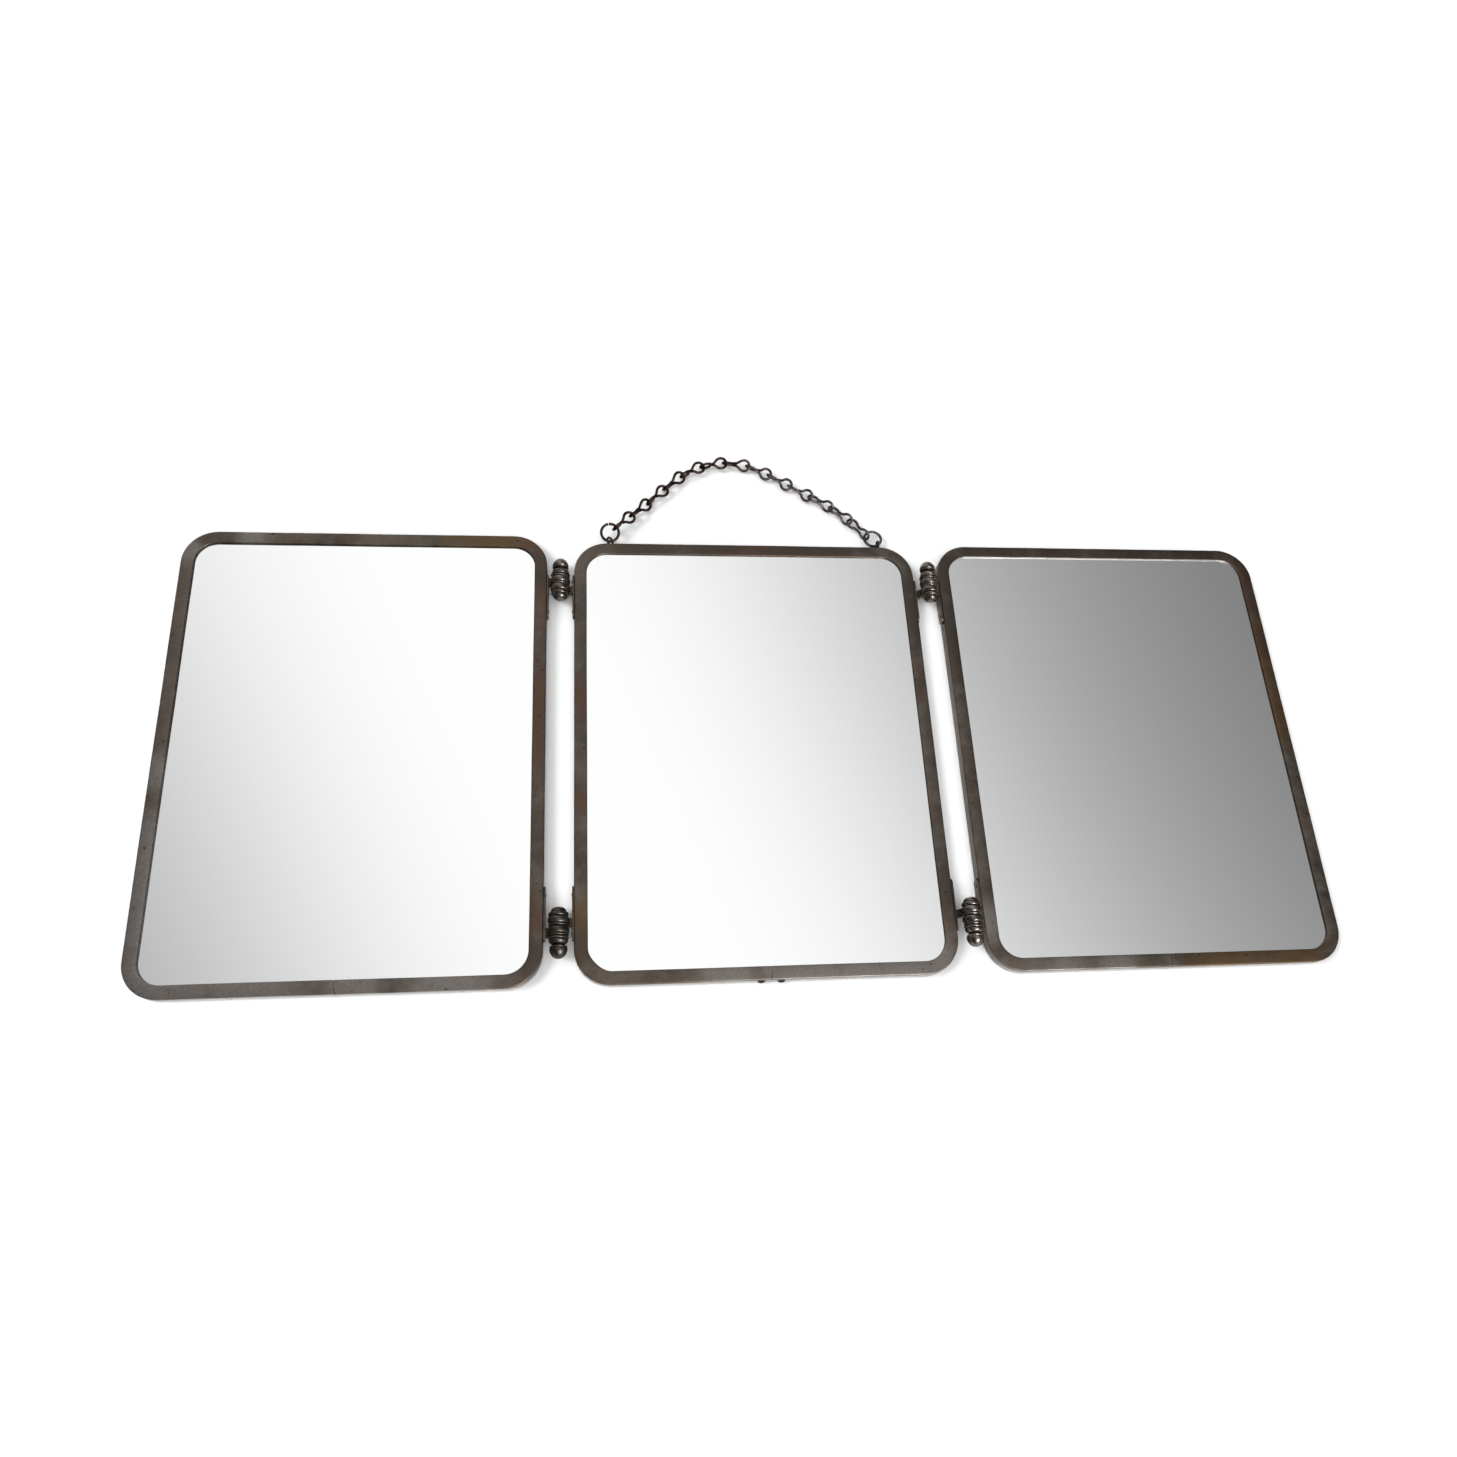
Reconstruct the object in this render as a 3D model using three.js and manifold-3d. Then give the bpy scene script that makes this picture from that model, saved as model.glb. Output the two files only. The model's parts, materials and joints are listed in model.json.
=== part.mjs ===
// Triple folding mirror: three framed mirror panels on finial hinges, with a chain between two eyelets.
// Millimetres, +Z up. It lies open on its back: +X to the right, +Y to the top edge, +Z out of the glass.
import * as THREE from "three";
import { mergeVertices } from "three/addons/utils/BufferGeometryUtils.js";
import Module from "manifold-3d";

const wasm = await Module();
wasm.setup();

// ---------- driving dimensions ----------
const FIT = 0.3; // clearance between separate pieces
const PANEL_W = 200;
const CENTRE = { name: "centre", x: 0, y: 0, h: 254, glassSunk: 0 };
const PANEL_GAP = 15.5; // wall to wall, where the hinges sit
const WING_X = PANEL_W + PANEL_GAP;
const LEFT = { name: "left", x: -WING_X, y: 1.9, h: 258, glassSunk: 0.5 };
const RIGHT = { name: "right", x: WING_X, y: 0.6, h: 255.2, glassSunk: 0 };
const PANELS = [LEFT, CENTRE, RIGHT];

const DEPTH = 7.5; // frame, back edge to front face
const CORNER_R = 19;
const FLANGE_W = 7;
const FLANGE_T = 0.7;
const WALL_T = 1.2;
const EDGE_R = 0.6;
const SEAM = 0.3; // butt joint at the middle of the bottom rail
const FLAT_CORNER = { panel: CENTRE, index: 3, extra: 0.7 }; // bottom left, in the order of CORNERS
const GLASS_INSET = 2.4; // from the wall's inner face to the glass edge
const GLASS_Z = [3.5, 6.5];
const BOARD_Z = [1.1, 2.3];
const BACK_Z = [0, 0.8];

const SPLICE = { w: 28, t: 1.2, z: [1.2, 5.7] };
const SCREW = { spacing: 10.4, shank: 0.8, head: 2.0, z: 3.6 };

const HINGE_X = WING_X / 2;
const LEFT_AXIS_Z = 7.75;
const RIGHT_AXIS_Z = 11.75;
const PIN_R = 1.8;
const BORE_R = 1.95;
const DOME_L = 4.9;
const KNUCKLE_L = 4.9;
const KNUCKLE_GAP = 0.2;
const LEAF = { t: 1, past: 16.5, z: [0.9, 7.2] }; // past: from the dome's tip to the leaf's outer end
// out: panel middle to the dome's tip, leaf: panel middle to the leaf's inner end.
const HINGES = [
  { label: "top_left", x: -HINGE_X, axisZ: LEFT_AXIS_Z, side: 1, out: 89.2, leaf: 79 },
  { label: "bottom_left", x: -HINGE_X, axisZ: LEFT_AXIS_Z, side: -1, out: 87, leaf: 75.5 },
  { label: "top_right", x: HINGE_X, axisZ: RIGHT_AXIS_Z, side: 1, out: 88, leaf: 77.5 },
  { label: "bottom_right", x: HINGE_X, axisZ: RIGHT_AXIS_Z, side: -1, out: 88, leaf: 76 },
];

const WIRE_R = 0.8;
const RING_R = 5.05;
const EYE = { r: 2.4, wire: 0.65, out: 3.2, z: 4.1, shank: 0.7 };
const LEFT_EYE_X = -79.3;
const RIGHT_EYE_X = 81.3;
const RIGHT_RING_LEAN = 30; // degrees towards the left
const LEFT_EYE_TURN = 49; // degrees about its shank, 90 is square to the panel
const LEFT_RING_TILT = 28; // about X, its far end up
const SLOPE = { links: 2, degrees: 6.85 }; // the first links come down from it
const LOOP_HALF_W = 3.2; // wire centre to the link's axis
const WAIST = 0.88; // the same where the two strands cross
const TWIST_L = 2.2; // half the length over which they turn a quarter
const LINK_PLAY = 0.35;
// Heading and roll of each link in degrees, from the left ring to the right one.
const LINKS = [
  [44, 106], [44, 122], [44, 100], [42, 122], [30, 102], [12, 104], [-8, 134],
  [-26, 116], [-32, 118], [-32, 122], [-32, 150], [-40, -30], [-48, -12],
];

const FINISHES = {
  metal: { color: 0x5a5047, roughness: 0.42, metalness: 1 },
  chain: { color: 0x3f3632, roughness: 0.45, metalness: 1 },
  mirror: { color: 0xd8dcda, roughness: 0.05, metalness: 1 },
  board: { color: 0x9a8260, roughness: 0.9, metalness: 0 },
  sheet: { color: 0x77736c, roughness: 0.5, metalness: 1 },
};

const group = new THREE.Group();
group.name = "triple_folding_mirror";

// ---------- solids ----------
function solid(geometry) {
  const bare = new THREE.BufferGeometry();
  const flat = geometry.index ? geometry.toNonIndexed() : geometry;
  bare.setAttribute("position", flat.getAttribute("position"));
  const merged = mergeVertices(bare, 1e-4);
  return new wasm.Manifold(new wasm.Mesh({
    numProp: 3,
    vertProperties: merged.attributes.position.array,
    triVerts: new Uint32Array(merged.index.array),
  }));
}

function geometryOf(manifold) {
  const mesh = manifold.getMesh();
  const geometry = new THREE.BufferGeometry();
  geometry.setAttribute("position", new THREE.BufferAttribute(mesh.vertProperties, 3));
  geometry.setIndex(new THREE.BufferAttribute(mesh.triVerts, 1));
  const flat = geometry.toNonIndexed();
  flat.computeVertexNormals();
  return flat;
}

function joined(geometries) {
  return geometryOf(wasm.Manifold.union(geometries.map(solid)));
}

function cut(geometry, cutters) {
  return geometryOf(solid(geometry).subtract(wasm.Manifold.union(cutters.map(solid))));
}

function box(x, y, z) {
  const size = [x, y, z].map(([a, b]) => b - a);
  const middle = [x, y, z].map(([a, b]) => (a + b) / 2);
  return new THREE.BoxGeometry(...size).translate(...middle);
}

function rodAlongY(radius, y0, y1, sides = 12) {
  const rod = new THREE.CylinderGeometry(radius, radius, y1 - y0, sides);
  return rod.translate(0, (y0 + y1) / 2, 0);
}

function turned(profile, sides = 16) {
  const points = profile.map(([r, y]) => new THREE.Vector2(r, y));
  return new THREE.LatheGeometry(points, sides);
}

function add(name, geometry, finish) {
  const material = new THREE.MeshStandardMaterial(FINISHES[finish]);
  const mesh = new THREE.Mesh(geometry, material);
  mesh.name = name;
  group.add(mesh);
  return mesh;
}

// ---------- panels ----------
const CORNERS = [[1, -1, -90], [1, 1, 0], [-1, 1, 90], [-1, -1, 180]];

// Points on a rounded rectangle with their outward normals, from the seam round to the seam.
function outline(width, height, radius, perCorner) {
  const [hw, hh] = [width / 2, height / 2];
  const stations = [];
  for (const [corner, [sx, sy, start]] of CORNERS.entries()) {
    for (let i = 0; i <= perCorner; i += 1) {
      const angle = THREE.MathUtils.degToRad(start + (90 * i) / perCorner);
      const normal = [Math.cos(angle), Math.sin(angle)];
      const centre = [sx * (hw - radius), sy * (hh - radius)];
      const point = [centre[0] + radius * normal[0], centre[1] + radius * normal[1]];
      stations.push({ point, normal, corner, fromDiagonal: (90 * i) / perCorner - 45 });
    }
  }
  return stations;
}

// How much wider the flange is at a station of the corner whose inner edge runs almost straight across.
function flatCornerExtra({ corner, fromDiagonal }) {
  if (corner !== FLAT_CORNER.index) return 0;
  return FLAT_CORNER.extra * Math.cos(THREE.MathUtils.degToRad(2 * fromDiagonal)) ** 2;
}

// Section of the bent strip: [distance in from the outer wall, height].
function stripSection() {
  const rounding = [0, 30, 60, 90].map((degrees) => {
    const angle = THREE.MathUtils.degToRad(degrees);
    return [EDGE_R * (1 - Math.cos(angle)), DEPTH - EDGE_R * (1 - Math.sin(angle))];
  });
  return [
    [0, 0],
    ...rounding,
    [FLANGE_W - 0.7, DEPTH],
    [FLANGE_W, DEPTH - 0.5],
    [FLANGE_W, DEPTH - FLANGE_T],
    [WALL_T, DEPTH - FLANGE_T],
    [WALL_T, 0],
  ];
}

function bentStrip(panel) {
  const bottom = -panel.h / 2;
  const end = (side) => ({ point: [(side * SEAM) / 2, bottom], normal: [0, -1] });
  const stations = [end(1), ...outline(PANEL_W, panel.h, CORNER_R, 6), end(-1)];
  const section = stripSection();
  const count = section.length;
  const positions = [];
  for (const station of stations) {
    const { point, normal } = station;
    const extra = panel === FLAT_CORNER.panel ? flatCornerExtra(station) : 0;
    for (const [inward, z] of section) {
      const reach = inward > FLANGE_W / 2 ? inward + extra : inward;
      positions.push(point[0] - reach * normal[0], point[1] - reach * normal[1], z);
    }
  }
  const faces = [];
  for (let i = 0; i + 1 < stations.length; i += 1) {
    for (let j = 0; j < count; j += 1) {
      const a = i * count + j;
      const b = i * count + ((j + 1) % count);
      faces.push(a, a + count, b, b, a + count, b + count);
    }
  }
  const contour = section.map(([u, z]) => new THREE.Vector2(u, z));
  const last = (stations.length - 1) * count;
  for (const [p, q, r] of THREE.ShapeUtils.triangulateShape(contour, [])) {
    faces.push(r, q, p, last + p, last + q, last + r);
  }
  const geometry = new THREE.BufferGeometry();
  geometry.setAttribute("position", new THREE.Float32BufferAttribute(positions, 3));
  geometry.setIndex(faces);
  return geometry;
}

function frameGeometry(panel) {
  const strip = bentStrip(panel);
  if (panel !== CENTRE) return geometryOf(solid(strip));
  const wallHoles = [-1, 1].map((side) => {
    const hole = rodAlongY(SCREW.shank + 0.15, -panel.h / 2 - 1, -panel.h / 2 + WALL_T + 1);
    return hole.translate((side * SCREW.spacing) / 2, 0, SCREW.z);
  });
  const eyeHoles = [LEFT_EYE_X, RIGHT_EYE_X].map((x) => {
    const hole = rodAlongY(EYE.shank + 0.15, panel.h / 2 - WALL_T - 1, panel.h / 2 + 1);
    return hole.translate(x, 0, EYE.z);
  });
  return cut(strip, [...wallHoles, ...eyeHoles]);
}

function sheet(width, height, radius, [z0, z1]) {
  const points = outline(width, height, radius, 6).map(({ point }) => new THREE.Vector2(...point));
  const shape = new THREE.Shape(points);
  const depth = z1 - z0;
  return new THREE.ExtrudeGeometry(shape, { depth, bevelEnabled: false }).translate(0, 0, z0);
}

function insetSheet(panel, inset, z) {
  return sheet(PANEL_W - 2 * inset, panel.h - 2 * inset, CORNER_R - inset, z);
}

function spliceGeometry(panel) {
  const y0 = -panel.h / 2 + WALL_T + FIT;
  const plate = box([-SPLICE.w / 2, SPLICE.w / 2], [y0, y0 + SPLICE.t], SPLICE.z);
  if (panel !== CENTRE) return plate;
  return cut(plate, [-1, 1].map((side) => {
    const hole = rodAlongY(SCREW.shank + 0.15, y0 - 1, y0 + SPLICE.t + 1);
    return hole.translate((side * SCREW.spacing) / 2, 0, SCREW.z);
  }));
}

function screwGeometry() {
  const wall = -CENTRE.h / 2;
  const inner = wall + WALL_T + FIT + SPLICE.t;
  const seat = wall - 0.15;
  return turned([
    [0, seat - 0.9],
    [1.1, seat - 0.8],
    [SCREW.head, seat - 0.4],
    [SCREW.head, seat],
    [SCREW.shank, seat],
    [SCREW.shank, inner],
    [0, inner],
  ], 12);
}

function buildPanel(panel) {
  const place = (mesh) => mesh.position.set(panel.x, panel.y, 0);
  const inset = WALL_T + GLASS_INSET;
  place(add(`${panel.name}_frame`, frameGeometry(panel), "metal"));
  const glassZ = GLASS_Z.map((z) => z - panel.glassSunk);
  place(add(`${panel.name}_mirror_glass`, insetSheet(panel, inset, glassZ), "mirror"));
  place(add(`${panel.name}_packing_board`, insetSheet(panel, inset, BOARD_Z), "board"));
  place(add(`${panel.name}_back_plate`, insetSheet(panel, WALL_T + FIT, BACK_Z), "sheet"));
  place(add(`${panel.name}_splice_plate`, spliceGeometry(panel), "metal"));
}

function buildSpliceScrews() {
  for (const [side, x] of [["left", -1], ["right", 1]]) {
    const screw = add(`centre_splice_screw_${side}`, screwGeometry(), "metal");
    screw.position.set((x * SCREW.spacing) / 2, 0, SCREW.z);
  }
}

// ---------- hinges ----------
// Each piece is made at the origin with its barrel along +Y, which is outwards from the panel's middle.
function pinGeometry() {
  const shaftEnd = DOME_L + 2 * KNUCKLE_L + 3 * KNUCKLE_GAP + 3.4;
  return turned([
    [0, 0],
    [1.7, 0.2],
    [3.2, 0.9],
    [4.0, 2.2],
    [4.0, 2.8],
    [4.9, 3.2],
    [5.1, 4.0],
    [4.9, 4.6],
    [4.4, DOME_L],
    [PIN_R, DOME_L],
    [PIN_R, shaftEnd],
    [0, shaftEnd],
  ]);
}

function finialGeometry() {
  return turned([
    [BORE_R, 0],
    [4.9, 0],
    [5.4, 0.5],
    [5.3, 1.3],
    [4.85, 1.6],
    [4.7, 2.6],
    [3.9, 3.7],
    [3.1, 4.3],
    [3.1, 4.7],
    [4.4, 5.0],
    [4.6, 6.2],
    [4.4, 7.6],
    [3.4, 9.5],
    [2.1, 10.6],
    [0, 11.0],
    [0, 4.0],
    [BORE_R, 4.0],
    [BORE_R, 0],
  ]);
}

// A long bead and a narrow ring, with a groove between them.
function knuckleGeometry() {
  return turned([
    [BORE_R, 0],
    [4.6, 0],
    [5.3, 0.8],
    [5.5, 1.9],
    [5.3, 2.9],
    [4.5, 3.6],
    [5.1, 3.9],
    [5.1, 4.5],
    [4.4, KNUCKLE_L],
    [BORE_R, KNUCKLE_L],
    [BORE_R, 0],
  ]);
}

// Plate on the frame's side wall with a rounded inner end. Its face lies in X = 0 and it is LEAF.t thick.
function leafPlate(from, to) {
  const [z0, z1] = LEAF.z;
  const radius = (z1 - z0) / 2;
  const shape = new THREE.Shape();
  shape.moveTo(to, z0);
  shape.lineTo(to, z1);
  shape.lineTo(from + radius, z1);
  shape.absarc(from + radius, z0 + radius, radius, Math.PI / 2, (3 * Math.PI) / 2, false);
  shape.closePath();
  const plate = new THREE.ExtrudeGeometry(shape, {
    depth: LEAF.t,
    bevelEnabled: false,
    curveSegments: 4,
  });
  const basis = new THREE.Matrix4().makeBasis(
    new THREE.Vector3(0, 1, 0),
    new THREE.Vector3(0, 0, 1),
    new THREE.Vector3(1, 0, 0),
  );
  return plate.applyMatrix4(basis);
}

// A leaf on the -X side of the barrel's axis, in the panel's heights.
function leafGeometry({ axisZ, out, leaf }, knuckleFrom) {
  const wallSide = -PANEL_GAP / 2 + FIT;
  const raised = axisZ > DEPTH + 2;
  const armTop = raised ? axisZ - 2.2 : LEAF.z[1];
  const armStart = raised ? wallSide + 0.7 : wallSide + 0.2;
  const arm = box([armStart, -3], [knuckleFrom + 0.3, knuckleFrom + KNUCKLE_L - 0.3], [3, armTop]);
  const knuckle = knuckleGeometry().translate(0, knuckleFrom, axisZ);
  return joined([leafPlate(leaf, out + LEAF.past).translate(wallSide, 0, 0), arm, knuckle]);
}

// across and side are +1 or -1: -1 mirrors a piece to the other wall, or to the bottom pair.
function hingePiece(name, geometry, x, across, side) {
  let body = solid(geometry);
  if (across < 0) body = body.mirror([1, 0, 0]);
  if (side < 0) body = body.mirror([0, 1, 0]);
  add(name, geometryOf(body), "metal").position.set(x, 0, 0);
}

function buildHinge(hinge) {
  const { label, x, axisZ, side, out } = hinge;
  const centreSide = x < 0 ? -1 : 1; // leaves are made for the -X wall
  const inner = out + DOME_L + KNUCKLE_GAP;
  const outer = inner + KNUCKLE_L + KNUCKLE_GAP;
  const finial = outer + KNUCKLE_L + KNUCKLE_GAP;
  const pieces = [
    ["centre_leaf", leafGeometry(hinge, inner), centreSide],
    ["wing_leaf", leafGeometry(hinge, outer), -centreSide],
    ["pin", pinGeometry().translate(0, out, axisZ), 1],
    ["finial", finialGeometry().translate(0, finial, axisZ), 1],
  ];
  for (const [piece, geometry, across] of pieces) {
    hingePiece(`hinge_${label}_${piece}`, geometry, x, across, side);
  }
}

// ---------- chain ----------
// Figure-eight link along +X from the origin: one closed wire, its second loop turned a quarter.
function linkGeometry(length) {
  const half = length / 2;
  const bend = half - LOOP_HALF_W; // from the waist to the middle of a round end
  const taper = (x) => {
    const share = Math.sin((Math.PI / 2) * Math.abs(x / bend)) ** 1.1;
    return [x, WAIST + (LOOP_HALF_W - WAIST) * share];
  };
  const roundEnd = (degrees) => {
    const angle = THREE.MathUtils.degToRad(degrees);
    return [bend + LOOP_HALF_W * Math.cos(angle), LOOP_HALF_W * Math.sin(angle)];
  };
  const right = [...[0.2, 0.45, 0.75].map((share) => taper(share * bend)), ...[90, 60, 30].map(roundEnd)];
  const left = right.map(([x, width]) => [-x, width]).reverse();
  const strand = (side) => [...left, taper(0), ...right].map(([x, width]) => {
    const turn = (Math.PI / 4) * (1 + THREE.MathUtils.clamp(x / TWIST_L, -1, 1));
    return new THREE.Vector3(x, side * width * Math.cos(turn), side * width * Math.sin(turn));
  });
  const tips = [new THREE.Vector3(half, 0, 0), new THREE.Vector3(-half, 0, 0)];
  const points = [...strand(1), tips[0], ...strand(-1).reverse(), tips[1]];
  const wire = new THREE.CatmullRomCurve3(points, true, "centripetal");
  const link = new THREE.TubeGeometry(wire, 36, WIRE_R, 6, true);
  return link.translate(half, 0, 0);
}

function eyeGeometry(turnDegrees) {
  const eye = new THREE.TorusGeometry(EYE.r, EYE.wire, 6, 14);
  const wall = -EYE.out;
  const shank = rodAlongY(EYE.shank, wall - WALL_T - 0.8, -EYE.r, 10);
  const collar = rodAlongY(1.4, wall + 0.15, wall + 0.75);
  const turn = THREE.MathUtils.degToRad(turnDegrees);
  return joined([eye, shank, collar]).rotateY(turn);
}

function headingVector(degrees) {
  const angle = THREE.MathUtils.degToRad(degrees);
  return new THREE.Vector3(Math.cos(angle), Math.sin(angle), 0);
}

function buildChain() {
  const eyeY = CENTRE.h / 2 + EYE.out;
  const leftEye = new THREE.Vector3(LEFT_EYE_X, eyeY, EYE.z);
  const rightEye = new THREE.Vector3(RIGHT_EYE_X, eyeY, EYE.z);
  add("eyelet_left", eyeGeometry(LEFT_EYE_TURN), "metal").position.copy(leftEye);
  add("eyelet_right", eyeGeometry(90), "metal").position.copy(rightEye);

  const leftRing = leftEye.clone().add(new THREE.Vector3(0, RING_R, 0));
  const rightRing = rightEye.clone().addScaledVector(headingVector(90 + RIGHT_RING_LEAN), RING_R);
  const hook = RING_R - 2 * WIRE_R - LINK_PLAY; // ring centre to the end link's wire
  const tilt = new THREE.Quaternion();
  tilt.setFromAxisAngle(new THREE.Vector3(1, 0, 0), THREE.MathUtils.degToRad(LEFT_RING_TILT));
  const tilted = (point) => point.clone().sub(leftEye).applyQuaternion(tilt).add(leftEye);
  const start = tilted(leftRing.clone().addScaledVector(headingVector(LINKS[0][0]), hook));
  const lastHeading = LINKS[LINKS.length - 1][0];
  const end = rightRing.clone().addScaledVector(headingVector(lastHeading), -hook);

  const overlap = 2 * WIRE_R + LINK_PLAY;
  const reach = new THREE.Vector3();
  const pitches = LINKS.map((_, index) => THREE.MathUtils.degToRad(index < SLOPE.links ? SLOPE.degrees : 0));
  LINKS.forEach(([heading], index) => reach.addScaledVector(headingVector(heading), Math.cos(pitches[index])));
  const span = end.clone().sub(start).setZ(0);
  const slack = overlap * reach.length();
  const length = (span.length() + slack - overlap) / reach.length();
  const turn = Math.atan2(span.y, span.x) - Math.atan2(reach.y, reach.x);
  const geometry = linkGeometry(length);
  const joint = start.clone();
  LINKS.forEach(([heading, roll], index) => {
    const link = add(`chain_link_${String(index + 1).padStart(2, "0")}`, geometry, "chain");
    const yaw = THREE.MathUtils.degToRad(heading) + turn;
    link.position.copy(joint);
    link.rotation.set(THREE.MathUtils.degToRad(roll), pitches[index], yaw, "ZYX");
    const ahead = new THREE.Vector3(1, 0, 0).applyEuler(link.rotation);
    joint.addScaledVector(ahead, length - overlap);
  });

  const ring = new THREE.TorusGeometry(RING_R, WIRE_R, 6, 24);
  const left = add("chain_ring_left", ring, "chain");
  left.quaternion.copy(tilt);
  left.position.copy(tilted(leftRing));
  add("chain_ring_right", ring, "chain").position.copy(rightRing);
}

// ---------- assembly ----------
for (const panel of PANELS) buildPanel(panel);
buildSpliceScrews();
HINGES.forEach(buildHinge);
buildChain();

// The origin is under the middle of the whole object.
const bounds = new THREE.Box3().setFromObject(group, true);
const middle = bounds.getCenter(new THREE.Vector3());
group.position.set(-middle.x, -middle.y, -bounds.min.z);

export default group;
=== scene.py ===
"""Looks of the triple folding mirror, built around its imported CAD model.

Every number is in millimetres until a vertex is made, in the CAD frame: the mirror lies open on its back,
+X to the right, +Y to the top edge with the chain, +Z out of the glass.
"""
import json
import math

import bmesh
import bpy
import numpy as np
from mathutils import Euler, Matrix, Vector, noise


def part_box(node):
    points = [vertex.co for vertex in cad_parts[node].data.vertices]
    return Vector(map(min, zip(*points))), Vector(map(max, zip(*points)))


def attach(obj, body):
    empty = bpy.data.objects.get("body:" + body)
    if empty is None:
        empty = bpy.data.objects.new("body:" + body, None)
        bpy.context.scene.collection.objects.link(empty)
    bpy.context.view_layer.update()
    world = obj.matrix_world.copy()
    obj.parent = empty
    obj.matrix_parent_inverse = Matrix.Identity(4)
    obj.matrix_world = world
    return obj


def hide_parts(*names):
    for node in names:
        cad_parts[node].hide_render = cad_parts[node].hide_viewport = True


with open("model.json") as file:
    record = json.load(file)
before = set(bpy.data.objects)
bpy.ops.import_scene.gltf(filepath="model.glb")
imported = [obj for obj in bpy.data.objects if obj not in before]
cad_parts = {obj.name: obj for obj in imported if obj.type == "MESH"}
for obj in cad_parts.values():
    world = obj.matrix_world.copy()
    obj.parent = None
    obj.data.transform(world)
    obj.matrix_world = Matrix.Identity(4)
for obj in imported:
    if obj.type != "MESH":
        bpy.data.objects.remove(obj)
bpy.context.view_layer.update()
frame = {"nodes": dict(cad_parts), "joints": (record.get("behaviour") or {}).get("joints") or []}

NOISE_SEED = 7
noise.seed_set(NOISE_SEED)  # else the frames' unevenness changes from run to run

MM = 0.001
PANELS = ("left", "centre", "right")
BODY_OF_PANEL = {"left": "left_wing", "centre": "centre", "right": "right_wing"}

# ---------- dimensions shared with the CAD model ----------
FLANGE_W = 7.0
FLANGE_T = 0.7
WALL_T = 1.2
EDGE_R = 0.6
CORNER_R = 19.0
SEAM = 0.3
GLASS_INSET = 3.6
BACK_T = 0.8
BACK_INSET = 1.5

WIRE_R = 0.8
BORE_R = 1.95
DOME_L = 4.9
KNUCKLE_L = 4.9
KNUCKLE_GAP = 0.2
PANEL_GAP = 15.5
LEAF_T = 1.0
LEAF_PAST = 16.5
LEAF_Z = (0.9, 7.2)
# Row, side, way out, panel middle to the dome's tip, the same to the leaf's inner end, and the metal's
# roughness and tone.
HINGES = (
    ("top", "left", 1, 89.2, 79.0, 0.22, 0.85),
    ("bottom", "left", -1, 87.0, 75.5, 0.36, 0.45),
    ("top", "right", 1, 88.0, 77.5, 0.18, 1.0),
    ("bottom", "right", -1, 88.0, 76.0, 0.18, 1.0),
)


def box_mm(node):
    low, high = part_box(node)
    return low / MM, high / MM


CENTRE_LOW, CENTRE_HIGH = box_mm("centre_frame")
MIDDLE_Y = (CENTRE_LOW.y + CENTRE_HIGH.y) / 2


# ---------- camera, floor and light, in metres ----------
CAMERA_PLACE = (-0.0905, -0.2459, 0.5759)
CAMERA_RIGHT = Vector((0.992576, -0.049643, 0.111031))
CAMERA_DOWN = Vector((-0.005228, -0.929478, -0.368841))
CAMERA_FORWARD = Vector((0.121511, 0.365522, -0.922837))
SENSOR_WIDTH = 36.0
LENS = 27.595

FLOOR_REACH = 6.0
FLOOR_Z = -0.0002
FLOOR_WHITE = 0.92

SKY_ACROSS = (0.9194, 0.3776, -0.1101)  # the sky's band runs square to this direction
SKY_HALF_WIDTH = 0.36
SKY_FALLOFF = 2.854
SKY_PEAK = 1.08

LIGHT_DISTANCE = 1.6


def make_camera():
    data = bpy.data.cameras.new("camera")
    data.sensor_width = SENSOR_WIDTH
    data.lens = LENS
    camera = bpy.data.objects.new("camera", data)
    bpy.context.scene.collection.objects.link(camera)
    turn = Matrix((CAMERA_RIGHT, -CAMERA_DOWN, -CAMERA_FORWARD)).transposed()
    camera.matrix_world = Matrix.Translation(CAMERA_PLACE) @ turn.to_4x4()
    bpy.context.scene.camera = camera


def make_floor():
    mesh = bpy.data.meshes.new("floor")
    corners = [(x * FLOOR_REACH, y * FLOOR_REACH) for x, y in ((-1, -1), (1, -1), (1, 1), (-1, 1))]
    mesh.from_pydata([(x, y, FLOOR_Z) for x, y in corners], [], [(0, 1, 2, 3)])
    floor = bpy.data.objects.new("floor", mesh)
    bpy.context.scene.collection.objects.link(floor)
    material = bpy.data.materials.new("floor")
    material.use_nodes = True
    shader = material.node_tree.nodes["Principled BSDF"]
    shader.inputs["Base Color"].default_value = (FLOOR_WHITE, FLOOR_WHITE, FLOOR_WHITE, 1)
    shader.inputs["Roughness"].default_value = 0.9
    shader.inputs["Specular IOR Level"].default_value = 0.0
    mesh.materials.append(material)


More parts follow.
